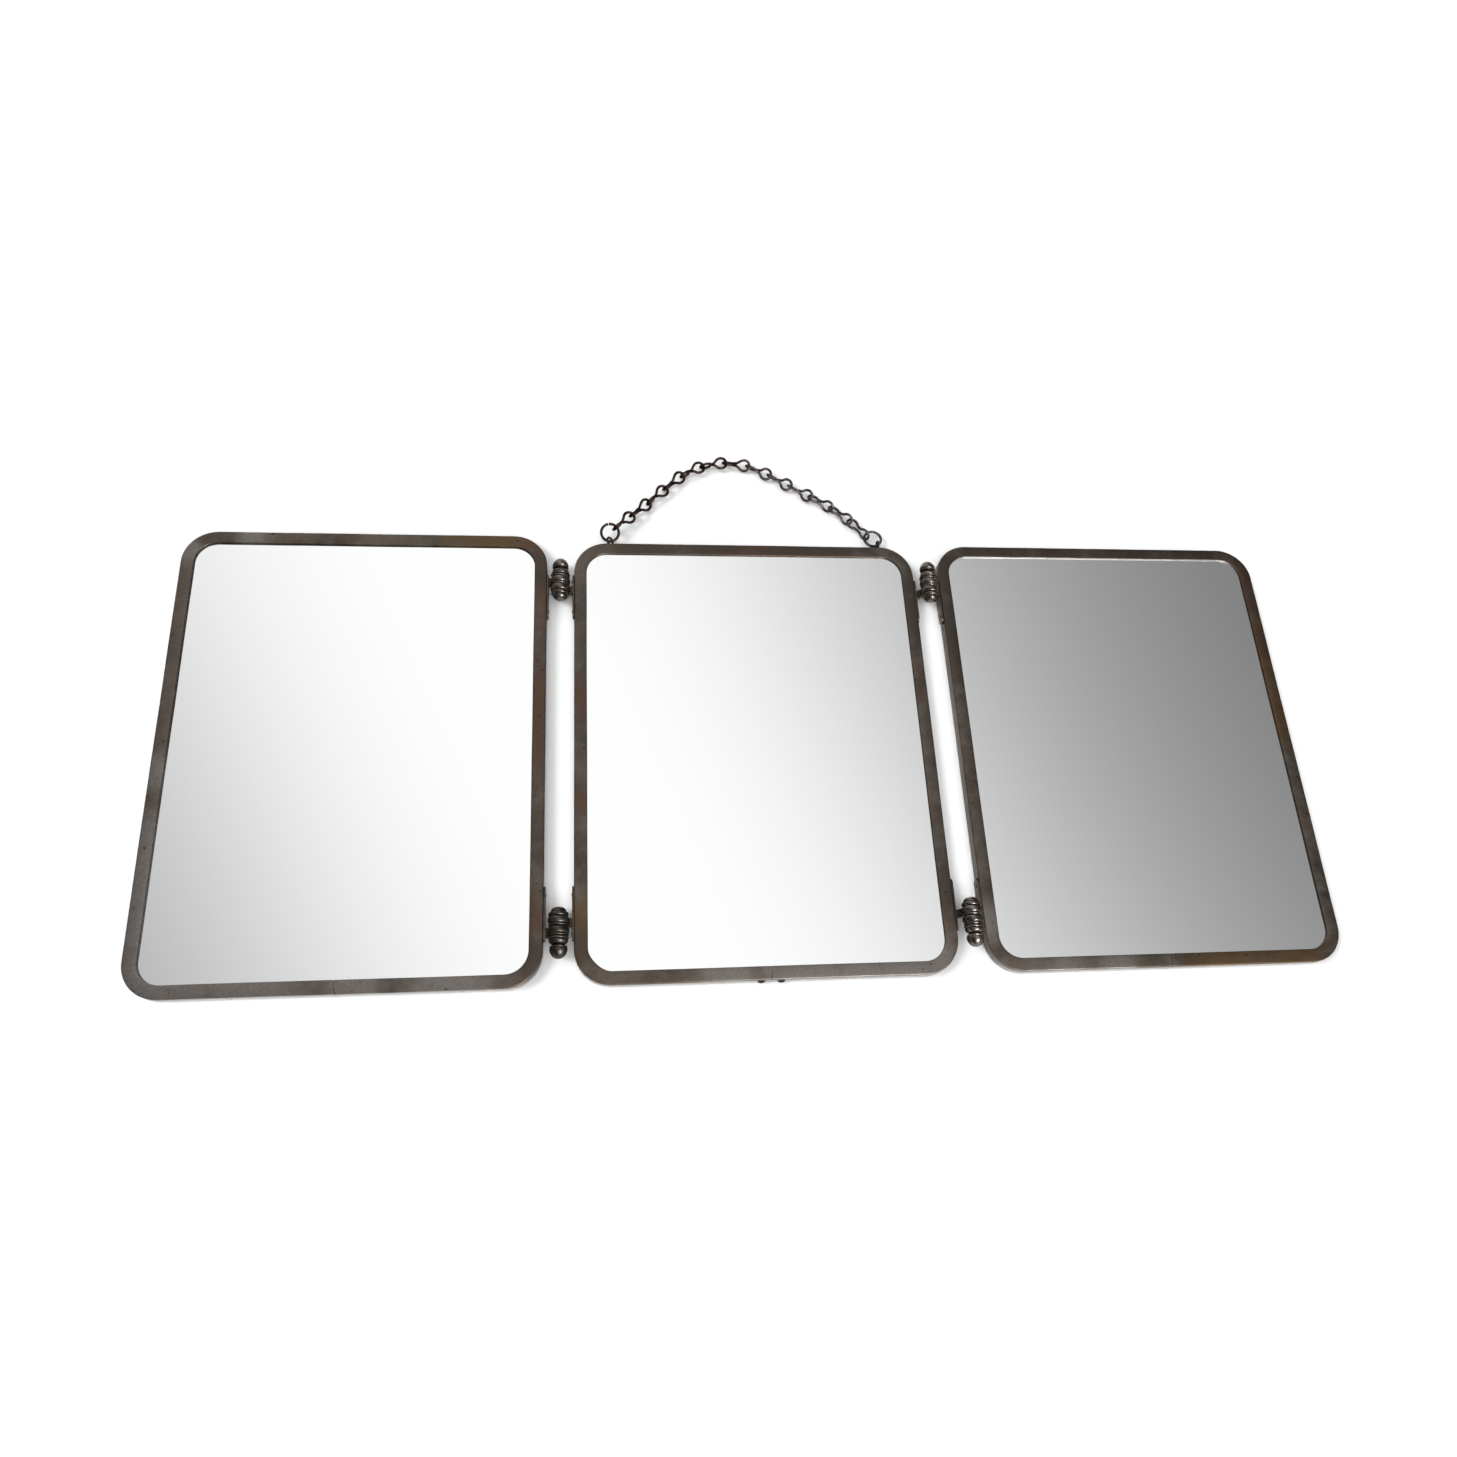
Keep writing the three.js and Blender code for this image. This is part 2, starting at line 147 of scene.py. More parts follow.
def make_world():
    """Soft sky: a broad bright band overhead that falls off to both sides."""
    world = bpy.data.worlds.new("studio")
    bpy.context.scene.world = world
    world.use_nodes = True
    tree = world.node_tree
    nodes, links = tree.nodes, tree.links
    coordinate = nodes.new("ShaderNodeTexCoord")
    across = nodes.new("ShaderNodeVectorMath")
    across.operation = "DOT_PRODUCT"
    across.inputs[1].default_value = SKY_ACROSS
    links.new(coordinate.outputs["Generated"], across.inputs[0])

    def math_node(operation, first, second=None):
        node = nodes.new("ShaderNodeMath")
        node.operation = operation
        for index, value in enumerate((first, second)):
            if value is None:
                continue
            if isinstance(value, (int, float)):
                node.inputs[index].default_value = value
            else:
                links.new(value, node.inputs[index])
        return node.outputs[0]

    distance = math_node("ABSOLUTE", across.outputs["Value"])
    scaled = math_node("DIVIDE", distance, SKY_HALF_WIDTH)
    powered = math_node("POWER", scaled, SKY_FALLOFF)
    falloff = math_node("ADD", powered, 1.0)
    strength = math_node("DIVIDE", SKY_PEAK, falloff)
    links.new(strength, nodes["Background"].inputs["Strength"])
    nodes["Background"].inputs["Color"].default_value = (1, 1, 1, 1)


def add_light(name, kind, energy, direction, **settings):
    """A light shining along direction."""
    data = bpy.data.lights.new(name, kind)
    data.energy = energy
    for key, value in settings.items():
        setattr(data, key, value)
    light = bpy.data.objects.new(name, data)
    light.rotation_mode = "QUATERNION"
    light.rotation_quaternion = Vector(direction).to_track_quat("-Z", "Y")
    light.location = -Vector(direction).normalized() * LIGHT_DISTANCE
    bpy.context.scene.collection.objects.link(light)
    return light


def make_lights():
    """Two soft suns light the floor and cast the shadows. Metal and glass show only sky and softbox."""
    key = add_light("key", "SUN", 1.75, (0.66, 0.0, -0.75), angle=0.42)
    fill = add_light("fill", "SUN", 0.95, (0.10, 0.46, -0.88), angle=0.9)
    for sun in (key, fill):
        sun.visible_glossy = False
    softbox = add_light(
        "softbox", "AREA", 22.0, (-0.32, 0.70, -0.65), shape="RECTANGLE", size=0.55, size_y=0.35,
    )
    softbox.visible_diffuse = False
    bpy.context.scene.view_settings.view_transform = "Standard"


# ---------- mesh helpers ----------
SMOOTH_DEGREES = 35  # edges bent more than this stay sharp


def new_object(name, verts_mm, faces, smooth_degrees=SMOOTH_DEGREES):
    mesh = bpy.data.meshes.new(name)
    mesh.from_pydata([tuple(Vector(v) * MM) for v in verts_mm], [], faces)
    mesh.shade_smooth()
    mesh.set_sharp_from_angle(angle=math.radians(smooth_degrees))
    mesh.update()
    obj = bpy.data.objects.new(name, mesh)
    bpy.context.scene.collection.objects.link(obj)
    return obj


def finish_piece(obj, material, body, slot, *nodes):
    obj.data.materials.clear()
    obj.data.materials.append(material)
    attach(obj, body)
    if nodes:
        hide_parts(*nodes)
    return obj


def bake_modifiers(obj):
    """Turns an object's modifiers into its own mesh."""
    depsgraph = bpy.context.evaluated_depsgraph_get()
    mesh = bpy.data.meshes.new_from_object(obj.evaluated_get(depsgraph))
    obj.modifiers.clear()
    obj.data = mesh
    mesh.shade_smooth()
    mesh.set_sharp_from_angle(angle=math.radians(SMOOTH_DEGREES))
    return obj


def united(first, *others, operation="UNION"):
    """Joins the others to the first object, or cuts them from it, and removes them."""
    for other in others:
        modifier = first.modifiers.new("join", "BOOLEAN")
        modifier.operation = operation
        modifier.solver = "EXACT"
        modifier.object = other
    bake_modifiers(first)
    for other in others:
        bpy.data.objects.remove(other)
    return first


def bevelled(obj, width):
    modifier = obj.modifiers.new("bevel", "BEVEL")
    modifier.width = width * MM
    modifier.segments = 3
    modifier.limit_method = "ANGLE"
    modifier.angle_limit = math.radians(40)
    return bake_modifiers(obj)


def ring_faces(rows, columns, closed_rows, closed_columns):
    """Quads over a grid of vertices stored row by row."""
    faces = []
    for i in range(rows if closed_rows else rows - 1):
        for j in range(columns if closed_columns else columns - 1):
            a = i * columns + j
            b = i * columns + (j + 1) % columns
            c = ((i + 1) % rows) * columns + (j + 1) % columns
            d = ((i + 1) % rows) * columns + j
            faces.append((a, b, c, d))
    return faces


def lathe(name, profile, sides=48):
    """Closed solid turned about +Y from [radius, y] points; points on the axis become single vertices."""
    verts, rings = [], []
    for radius, y in profile:
        if radius < 1e-6:
            rings.append([len(verts)] * sides)
            verts.append((0, y, 0))
            continue
        rings.append(list(range(len(verts), len(verts) + sides)))
        for k in range(sides):
            angle = 2 * math.pi * k / sides
            verts.append((radius * math.cos(angle), y, radius * math.sin(angle)))
    faces = []
    pairs = list(zip(rings, rings[1:]))
    if profile[0][0] > 1e-6:
        pairs.append((rings[-1], rings[0]))
    for low, high in pairs:
        for k in range(sides):
            n = (k + 1) % sides
            face = []
            for index in (low[k], high[k], high[n], low[n]):
                if index not in face:
                    face.append(index)
            if len(face) > 2:
                faces.append(tuple(face))
    return new_object(name, verts, faces)


def tube(name, path, radius, sides, closed=True):
    """Round wire along a path of points, its frames carried along the path and closed without a twist."""
    points = np.array(path, float)
    count = len(points)
    ahead = np.roll(points, -1, 0) - np.roll(points, 1, 0)
    if not closed:
        ahead[0] = points[1] - points[0]
        ahead[-1] = points[-1] - points[-2]
    tangents = ahead / np.linalg.norm(ahead, axis=1)[:, None]
    normal = np.cross(tangents[0], (0.31, 0.52, 0.79))
    normals = [normal / np.linalg.norm(normal)]
    for k in range(1, count):
        moved = normals[-1] - tangents[k] * (normals[-1] @ tangents[k])
        normals.append(moved / np.linalg.norm(moved))
    normals = np.array(normals)
    twist = 0.0
    if closed:
        last = normals[-1] - tangents[0] * (normals[-1] @ tangents[0])
        side = np.cross(tangents[0], normals[0])
        twist = math.atan2(last @ side, last @ normals[0])
    verts = []
    for k in range(count):
        side = np.cross(tangents[k], normals[k])
        for j in range(sides):
            angle = 2 * math.pi * j / sides - twist * k / count
            offset = normals[k] * math.cos(angle) + side * math.sin(angle)
            verts.append(points[k] + offset * radius)
    faces = ring_faces(count, sides, closed, True)
    if not closed:
        faces.append(tuple(reversed(range(sides))))
        faces.append(tuple(range((count - 1) * sides, count * sides)))
    return new_object(name, verts, [tuple(reversed(f)) for f in faces], smooth_degrees=80)


def placed(obj, x, y, z, flip_x=1, flip_y=1, turn=None):
    """Moves an object's mesh into place, mirrored first where a flip is -1."""
    matrix = Matrix.Translation(Vector((x, y, z)) * MM)
    if turn is not None:
        matrix = matrix @ turn.to_matrix().to_4x4()
    matrix = matrix @ Matrix.Diagonal((flip_x, flip_y, 1, 1))
    obj.data.transform(matrix)
    if flip_x * flip_y < 0:
        obj.data.flip_normals()
    return obj


def mark(obj, name, values):
    """Stores one number per vertex, for the material to read."""
    obj.data.attributes.new(name, "FLOAT", "POINT").data.foreach_set("value", values)


def mark_painted_light_and_grime(obj, gain=1.0):
    """Vertex attribute for painted highlights, above 0.5 on ridges and edges, and for painted shade with
    grime, below it in grooves.
    """
    mesh = obj.data
    count = len(mesh.vertices)
    places = np.empty(count * 3, np.float32)
    mesh.vertices.foreach_get("co", places)
    places = places.reshape(-1, 3)
    normals = np.empty(count * 3, np.float32)
    mesh.vertex_normals.foreach_get("vector", normals)
    normals = normals.reshape(-1, 3)
    edges = np.empty(len(mesh.edges) * 2, np.int32)
    mesh.edges.foreach_get("vertices", edges)
    first, second = edges.reshape(-1, 2).T
    ahead = places[second] - places[first]
    length = np.linalg.norm(ahead, axis=1) + 1e-9
    total = np.zeros(count)
    links = np.zeros(count)
    for here, sign in ((first, -1.0), (second, 1.0)):
        bend = sign * np.einsum("ij,ij->i", normals[here], ahead) / length
        np.add.at(total, here, bend)
        np.add.at(links, here, 1)
    value = total / np.maximum(links, 1)
    near = value.copy()
    weight = np.ones(count)
    np.add.at(near, first, value[second])
    np.add.at(near, second, value[first])
    np.add.at(weight, first, 1)
    np.add.at(weight, second, 1)
    mark(obj, "painted_light_and_grime", np.clip(0.5 + gain * near / weight, 0, 1).astype(np.float32))


# ---------- materials ----------
class Shading:
    """A new material with short calls for its nodes. Sizes are in millimetres on the object."""

    def __init__(self, name):
        self.material = bpy.data.materials.new(name)
        self.material.use_nodes = True
        self.nodes = self.material.node_tree.nodes
        self.links = self.material.node_tree.links
        self.shader = self.nodes["Principled BSDF"]
        self.place = self.nodes.new("ShaderNodeTexCoord").outputs["Object"]

    def set(self, socket, value):
        self.feed(self.shader.inputs[socket], value)

    def feed(self, socket, value):
        """Links a node's output to the socket, or writes a constant on it."""
        if isinstance(value, bpy.types.NodeSocket):
            self.links.new(value, socket)
        else:
            socket.default_value = value

    def math(self, operation, first, second=0.0):
        node = self.nodes.new("ShaderNodeMath")
        node.operation = operation
        self.feed(node.inputs[0], first)
        self.feed(node.inputs[1], second)
        return node.outputs[0]

    def noise(self, size, detail=3.0, roughness=0.5, stretch=(1, 1, 1), seed=0.0):
        mapping = self.nodes.new("ShaderNodeMapping")
        mapping.inputs["Scale"].default_value = stretch
        mapping.inputs["Location"].default_value = (seed, 1.7 * seed, -seed)
        self.links.new(self.place, mapping.inputs["Vector"])
        node = self.nodes.new("ShaderNodeTexNoise")
        node.inputs["Scale"].default_value = 1000.0 / size
        node.inputs["Detail"].default_value = detail
        node.inputs["Roughness"].default_value = roughness
        self.links.new(mapping.outputs["Vector"], node.inputs["Vector"])
        return node.outputs["Fac"]

    def ramp(self, value, start, end, low=0.0, high=1.0):
        node = self.nodes.new("ShaderNodeMapRange")
        node.interpolation_type = "SMOOTHSTEP"
        self.links.new(value, node.inputs["Value"])
        for socket, number in zip(("From Min", "From Max", "To Min", "To Max"), (start, end, low, high)):
            self.feed(node.inputs[socket], number)
        return node.outputs["Result"]

    def mix(self, share, first, second, blend="MIX"):
        node = self.nodes.new("ShaderNodeMix")
        node.data_type = "RGBA"
        node.blend_type = blend
        self.feed(node.inputs["Factor"], share)
        for socket, value in (("A", first), ("B", second)):
            sockets = [s for s in node.inputs if s.name == socket and s.type == "RGBA"]
            self.feed(sockets[0], value if isinstance(value, bpy.types.NodeSocket) else (*value, 1))
        return [s for s in node.outputs if s.type == "RGBA"][0]

    def across(self):
        """Place along X, in metres."""
        node = self.nodes.new("ShaderNodeSeparateXYZ")
        self.links.new(self.place, node.inputs[0])
        return node.outputs["X"]

    def attribute(self, name):
        node = self.nodes.new("ShaderNodeAttribute")
        node.attribute_name = name
        return node.outputs["Fac"]

    def patches(self, spots, ragged, soft=0.75):
        """Mask of round blots with ragged rims: spots are (x, y, radius) from the centre panel's middle."""
        total = None
        for x, y, radius in spots:
            away = self.nodes.new("ShaderNodeVectorMath")
            away.operation = "DISTANCE"
            self.links.new(self.place, away.inputs[0])
            away.inputs[1].default_value = (x * MM, (y + MIDDLE_Y) * MM, CENTRE_HIGH.z * MM)
            rim = self.math("MULTIPLY_ADD", ragged, radius * MM * 1.2)
            rim.node.inputs[2].default_value = -radius * MM * 0.6
            distance = self.math("ADD", away.outputs["Value"], rim)
            mask = self.ramp(distance, radius * MM * (1 - soft), radius * MM * 1.15, 1.0, 0.0)
            total = mask if total is None else self.math("MAXIMUM", total, mask)
        return total

    def bump(self, height, distance, strength):
        node = self.nodes.new("ShaderNodeBump")
        node.inputs["Strength"].default_value = strength
        node.inputs["Distance"].default_value = distance * MM
        self.links.new(height, node.inputs["Height"])
        return node.outputs["Normal"]


def toned(tone, colour):
    return tuple(tone * c for c in colour)


NICKEL_DARK = (0.070, 0.054, 0.043)
NICKEL = (0.128, 0.101, 0.079)
NICKEL_LIGHT = (0.235, 0.215, 0.200)
NICKEL_PAINTED_SHEEN = (0.62, 0.61, 0.60)
BRASS_STAIN = (0.132, 0.082, 0.036)
RED_STAIN = (0.105, 0.062, 0.042)
BLACK_PITS_AND_SHADE = (0.022, 0.017, 0.014)

HINGE_DARK = (0.095, 0.078, 0.068)
HINGE_LIGHT = (0.215, 0.190, 0.170)
HINGE_BRASSY = (0.175, 0.135, 0.085)
HINGE_CROWN_HIGHLIGHT = (0.36, 0.34, 0.32)
HINGE_GRIME_AND_SHADE = (0.012, 0.010, 0.008)

WIRE_GREYER = (-0.012, 0.03)  # metres along X, from all dark to full painted sheen


def aged_nickel(name, seed, lighter_spots=(), brass_spots=(), dark_spots=(), red_spots=(), tone=1.0):
    """Nickel-plated brass gone brown: cloudy tarnish, lighter and darker blots, stains, pits and scratches,
    with painted highlights on edges, painted sheen where marked and painted shade with grime in hollows.
    """
    s = Shading(name)
    cloud = s.noise(42, 4, 0.55, seed=seed)
    mottle = s.noise(7, 4, 0.6, seed=seed + 3)
    grain = s.noise(1.1, 3, 0.6, seed=seed + 5)
    colour = s.mix(s.ramp(cloud, 0.34, 0.66), toned(tone, NICKEL_DARK), toned(tone, NICKEL))
    colour = s.mix(s.ramp(mottle, 0.35, 0.8, 0.0, 0.35), colour, toned(tone, NICKEL_LIGHT))
    for spots, tint, share in (
        (lighter_spots, NICKEL_LIGHT, 0.85),
        (brass_spots, BRASS_STAIN, 0.9),
        (red_spots, RED_STAIN, 0.8),
        (dark_spots, NICKEL_DARK, 0.85),
    ):
        if spots:
            mask = s.math("MULTIPLY", s.patches(spots, mottle), share)
            colour = s.mix(mask, colour, toned(tone, tint))
    reddish = s.ramp(s.noise(23, 3, 0.5, seed=seed + 9), 0.58, 0.75, 0.0, 0.5)
    colour = s.mix(reddish, colour, toned(tone, RED_STAIN))
    colour = s.mix(s.ramp(grain, 0.25, 0.75, 0.0, 0.35), colour, toned(tone, NICKEL_DARK))
    painted_light_and_grime = s.attribute("painted_light_and_grime")
    # Painted highlight: ridges and edges are made lighter.
    edge = s.math("MULTIPLY", s.ramp(painted_light_and_grime, 0.56, 0.85), s.ramp(mottle, 0.3, 0.62, 0.25, 1.0))
    colour = s.mix(s.math("MULTIPLY", edge, 0.55), colour, NICKEL_LIGHT)
    # Painted sheen: a light reflection on the low part of the bottom rails' walls and on the right panel's
    # top lip.
    colour = s.mix(s.math("MULTIPLY", s.attribute("painted_sheen"), 0.85), colour, NICKEL_PAINTED_SHEEN)
    # Painted shade with grime: hollows are made nearly black.
    colour = s.mix(s.ramp(painted_light_and_grime, 0.30, 0.46, 0.75, 0.0), colour, BLACK_PITS_AND_SHADE)
    pits = s.ramp(s.noise(2.1, 2, 0.4, seed=seed + 12), 0.70, 0.76)
    colour = s.mix(s.math("MULTIPLY", pits, 0.8), colour, BLACK_PITS_AND_SHADE)
    scratches = s.ramp(s.noise(2.4, 4, 0.65, (1, 14, 1), seed + 15), 0.60, 0.74)
    s.set("Base Color", colour)
    s.set("Metallic", 0.92)
    rough = s.ramp(mottle, 0.3, 0.75, 0.36, 0.50)
    rough = s.math("SUBTRACT", rough, s.math("MULTIPLY", edge, 0.12))
    s.set("Roughness", s.math("ADD", rough, s.math("MULTIPLY", pits, 0.25)))
    height = s.math("SUBTRACT", s.math("MULTIPLY", grain, 0.25), pits)
    height = s.math("SUBTRACT", height, s.math("MULTIPLY", scratches, 0.12))
    s.set("Normal", s.bump(height, 0.05, 0.55))
    return s.material


def hinge_nickel(name, seed, roughness, tone):
    """Turned nickel-plated brass: glossy crowns with a painted highlight, brassy stains, black grime with
    painted shade in the grooves.
    """
    s = Shading(name)
    cloud = s.noise(6.0, 4, 0.6, seed=seed)
    mottle = s.noise(2.2, 3, 0.5, seed=seed + 3)
    colour = s.mix(s.ramp(cloud, 0.35, 0.65), toned(tone, HINGE_DARK), toned(tone, HINGE_LIGHT))
    brassy = s.ramp(s.noise(4.5, 3, 0.5, seed=seed + 6), 0.52, 0.7, 0.0, 0.5)
    colour = s.mix(brassy, colour, toned(tone, HINGE_BRASSY))
    colour = s.mix(s.ramp(mottle, 0.5, 0.75, 0.0, 0.3), colour, NICKEL_DARK)
    painted_light_and_grime = s.attribute("painted_light_and_grime")
    # Painted highlight on the crowns, then painted shade with grime in the grooves.
    edge = s.ramp(painted_light_and_grime, 0.54, 0.80)
    colour = s.mix(s.math("MULTIPLY", edge, 0.7), colour, toned(tone, HINGE_CROWN_HIGHLIGHT))
    colour = s.mix(s.ramp(painted_light_and_grime, 0.30, 0.47, 0.92, 0.0), colour, HINGE_GRIME_AND_SHADE)
    plain = s.attribute("plain")
    dull = s.mix(s.ramp(cloud, 0.34, 0.66), NICKEL_DARK, NICKEL)
    s.set("Base Color", s.mix(plain, colour, dull))
    s.set("Metallic", 0.95)
    rough = s.ramp(mottle, 0.35, 0.75, roughness, roughness + 0.10)
    rough = s.math("ADD", rough, s.ramp(painted_light_and_grime, 0.30, 0.46, 0.3, 0.0))
    s.set("Roughness", s.math("MAXIMUM", rough, s.math("MULTIPLY", plain, 0.42)))
    s.set("Normal", s.bump(mottle, 0.03, 0.2))
    return s.material


def chain_wire(name):
    """Dark oxidised wire, nearly black at the left end, with a painted sheen that turns it greyer towards the
    right.
    """
    s = Shading(name)
    mottle = s.noise(3.0, 4, 0.6)
    grain = s.noise(0.5, 3, 0.6, seed=2)
    colour = s.mix(s.ramp(mottle, 0.35, 0.7), (0.030, 0.018, 0.016), (0.084, 0.052, 0.046))
    # Painted sheen: the wire is lighter and greyer towards the right end.
    painted_sheen = s.mix(s.ramp(mottle, 0.35, 0.7), (0.055, 0.044, 0.044), (0.215, 0.186, 0.190))
    colour = s.mix(s.ramp(s.across(), *WIRE_GREYER), colour, painted_sheen)
    colour = s.mix(s.ramp(grain, 0.5, 0.8, 0.0, 0.3), colour, (0.09, 0.075, 0.07))
    s.set("Base Color", colour)
    s.set("Metallic", 1.0)
    s.set("Specular Tint", (0.15, 0.14, 0.14, 1))
    s.set("Roughness", s.ramp(mottle, 0.3, 0.7, 0.32, 0.5))
    s.set("Normal", s.bump(grain, 0.03, 0.4))
    return s.material


def silvered_glass(name, seed):
    """Old plate mirror: faint bloom and dust in the gloss, a trace of foxing towards the rim."""
    s = Shading(name)
    bloom = s.noise(60, 4, 0.6, seed=seed)
    dust = s.ramp(s.noise(0.9, 2, 0.5, seed=seed + 4), 0.72, 0.80)
    rim = s.attribute("rim")
    specks = s.math("MULTIPLY", s.ramp(s.noise(1.6, 3, 0.6, seed=seed + 7), 0.66, 0.74), rim)
    colour = s.mix(s.ramp(bloom, 0.3, 0.7, 0.0, 0.02), (0.915, 0.925, 0.92), (0.88, 0.89, 0.88))
    colour = s.mix(s.math("MULTIPLY", dust, 0.03), colour, (0.6, 0.6, 0.6))
    colour = s.mix(s.math("MULTIPLY", specks, 0.85), colour, (0.12, 0.10, 0.08))
    s.set("Base Color", colour)
    s.set("Metallic", 1.0)
    rough = s.math("ADD", s.ramp(bloom, 0.35, 0.7, 0.004, 0.018), s.math("MULTIPLY", dust, 0.05))
    s.set("Roughness", s.math("ADD", rough, s.math("MULTIPLY", specks, 0.4)))
    return s.material


def tinned_sheet(name, seed):
    """Dull tinned back: spangle, scuffed brown areas, scratches and rust freckles, with painted shade and
    grime in the bead's hollows.
    """
    s = Shading(name)
    cloud = s.noise(55, 4, 0.6, seed=seed)
    mottle = s.noise(6, 4, 0.6, seed=seed + 2)
    colour = s.mix(s.ramp(cloud, 0.3, 0.7), (0.20, 0.185, 0.165), (0.36, 0.345, 0.32))
    colour = s.mix(s.ramp(mottle, 0.5, 0.8, 0.0, 0.4), colour, (0.15, 0.12, 0.095))
    freckles = s.ramp(s.noise(3.2, 4, 0.65, seed=seed + 5), 0.62, 0.7)
    rust = s.math("MULTIPLY", freckles, s.ramp(cloud, 0.45, 0.6))
    colour = s.mix(s.math("MULTIPLY", rust, 0.8), colour, (0.10, 0.045, 0.022))
    scratches = s.ramp(s.noise(5, 5, 0.7, (1, 22, 1), seed + 8), 0.62, 0.70)
    cross = s.ramp(s.noise(6, 5, 0.7, (18, 1, 1), seed + 11), 0.64, 0.71)
    marks = s.math("MAXIMUM", scratches, cross)
    colour = s.mix(s.math("MULTIPLY", marks, 0.35), colour, (0.48, 0.46, 0.43))
    # Painted shade with grime in the hollows of the stamped bead.
    colour = s.mix(s.ramp(s.attribute("painted_light_and_grime"), 0.35, 0.47, 0.6, 0.0), colour, (0.05, 0.04, 0.033))
    s.set("Base Color", colour)
    s.set("Metallic", s.ramp(rust, 0.2, 0.8, 0.85, 0.1))
    s.set("Roughness", s.math("ADD", s.ramp(mottle, 0.3, 0.7, 0.38, 0.55), s.math("MULTIPLY", rust, 0.3)))
    height = s.math("ADD", s.math("MULTIPLY", mottle, 0.4), s.math("MULTIPLY", rust, 0.5))
    height = s.math("SUBTRACT", height, s.math("MULTIPLY", marks, 0.4))
    s.set("Normal", s.bump(height, 0.06, 0.6))
    return s.material


def straw_board(name):
    """Brown pasteboard with a grain of fibres and dark flecks."""
    s = Shading(name)
    fibres = s.noise(2.5, 5, 0.7, (1, 5, 1))
    colour = s.mix(s.ramp(fibres, 0.3, 0.75), (0.30, 0.22, 0.13), (0.47, 0.37, 0.24))
    flecks = s.ramp(s.noise(0.8, 2), 0.62, 0.75, 0.0, 0.5)
    s.set("Base Color", s.mix(flecks, colour, (0.16, 0.11, 0.07)))
    s.set("Roughness", 0.92)
    s.set("Normal", s.bump(fibres, 0.15, 0.5))
    return s.material


# ---------- panels ----------
CORNERS = ((1, -1, -90), (1, 1, 0), (-1, 1, 90), (-1, -1, 180))
FLAT_CORNER = 3  # the centre panel's bottom left corner, a little flatter on its inner edge
FLAT_EXTRA = 0.7
UNEVENNESS = 0.16  # of the bent frames
SEAM_SLANT = {"left": -1.0, "centre": 0.25, "right": 0.5}


def outline(width, height, radius, per_corner, spacing=None):
    """Points, outward normals and flat-corner shares of a rounded rectangle, anticlockwise."""
    points = []
    for corner, (side_x, side_y, start) in enumerate(CORNERS):
        for k in range(per_corner + 1):
            turn = 90 * k / per_corner
            angle = math.radians(start + turn)
            normal = Vector((math.cos(angle), math.sin(angle), 0))
            middle = Vector((side_x * (width / 2 - radius), side_y * (height / 2 - radius), 0))
            share = math.sin(math.radians(2 * turn)) ** 2 if corner == FLAT_CORNER else 0.0
            points.append((middle + normal * radius, normal, share))
    if spacing is None:
        return points
    bottom = Vector((0, -height / 2, 0))
    down = Vector((0, -1, 0))
    ends = [(bottom + Vector((SEAM / 2, 0, 0)), down, 0.0), (bottom - Vector((SEAM / 2, 0, 0)), down, 0.0)]
    walk = [ends[0], *points, ends[1]]
    filled = []
    for here, there in zip(walk, walk[1:]):
        gap = (there[0] - here[0]).length
        steps = max(1, round(gap / spacing)) if (there[1] - here[1]).length < 1e-6 else 1
        for k in range(steps):
            filled.append((here[0].lerp(there[0], k / steps), here[1], here[2]))
    return [*filled, walk[-1]]


def strip_section():
    """The frame strip's section: [distance in from the outer wall, height]."""
    depth = CENTRE_HIGH.z
    under = depth - FLANGE_T
    outer = [(EDGE_R * (1 - math.cos(a)), depth - EDGE_R * (1 - math.sin(a)))
             for a in (math.radians(15 * k) for k in range(7))]
    lip = [(FLANGE_W - 0.4 * (1 - math.sin(a)), depth - 0.4 * (1 - math.cos(a)))
           for a in (math.radians(22.5 * k) for k in range(5))]
    return [
        (0.25, 0.0), (0.0, 0.25), (0.0, 3.0), *outer,
        (2.4, depth + 0.05), (3.6, depth + 0.07), (4.8, depth + 0.05), *lip,
        (FLANGE_W, under + 0.15), (FLANGE_W - 0.15, under), (WALL_T + 0.3, under), (WALL_T, under - 0.3),
        (WALL_T, 3.0), (WALL_T, 0.25), (WALL_T - 0.25, 0.0),
    ]


def hand_made(point, amount):
    """Slow unevenness of a part bent and filed by hand."""
    slow = noise.noise_vector(Vector(point) / 55.0)
    quick = noise.noise_vector(Vector(point) / 17.0)
    return Vector(point) + Vector((slow.x, slow.y, 0)) * amount + Vector((quick.x, quick.y, 0)) * amount * 0.3


def painted_sheen_share(panel, normal, inward, z):
    """Share of painted sheen on the strip: low on the bottom rails' walls, and on the right panel's top lip.
    """
    if inward < 0.1 and z < CENTRE_HIGH.z - EDGE_R - 0.1:
        return max(0.0, -normal.y) ** 3
    if panel == "right" and inward > FLANGE_W - 0.2 and z < CENTRE_HIGH.z - 0.15:
        return max(0.0, normal.y)
    return 0.0


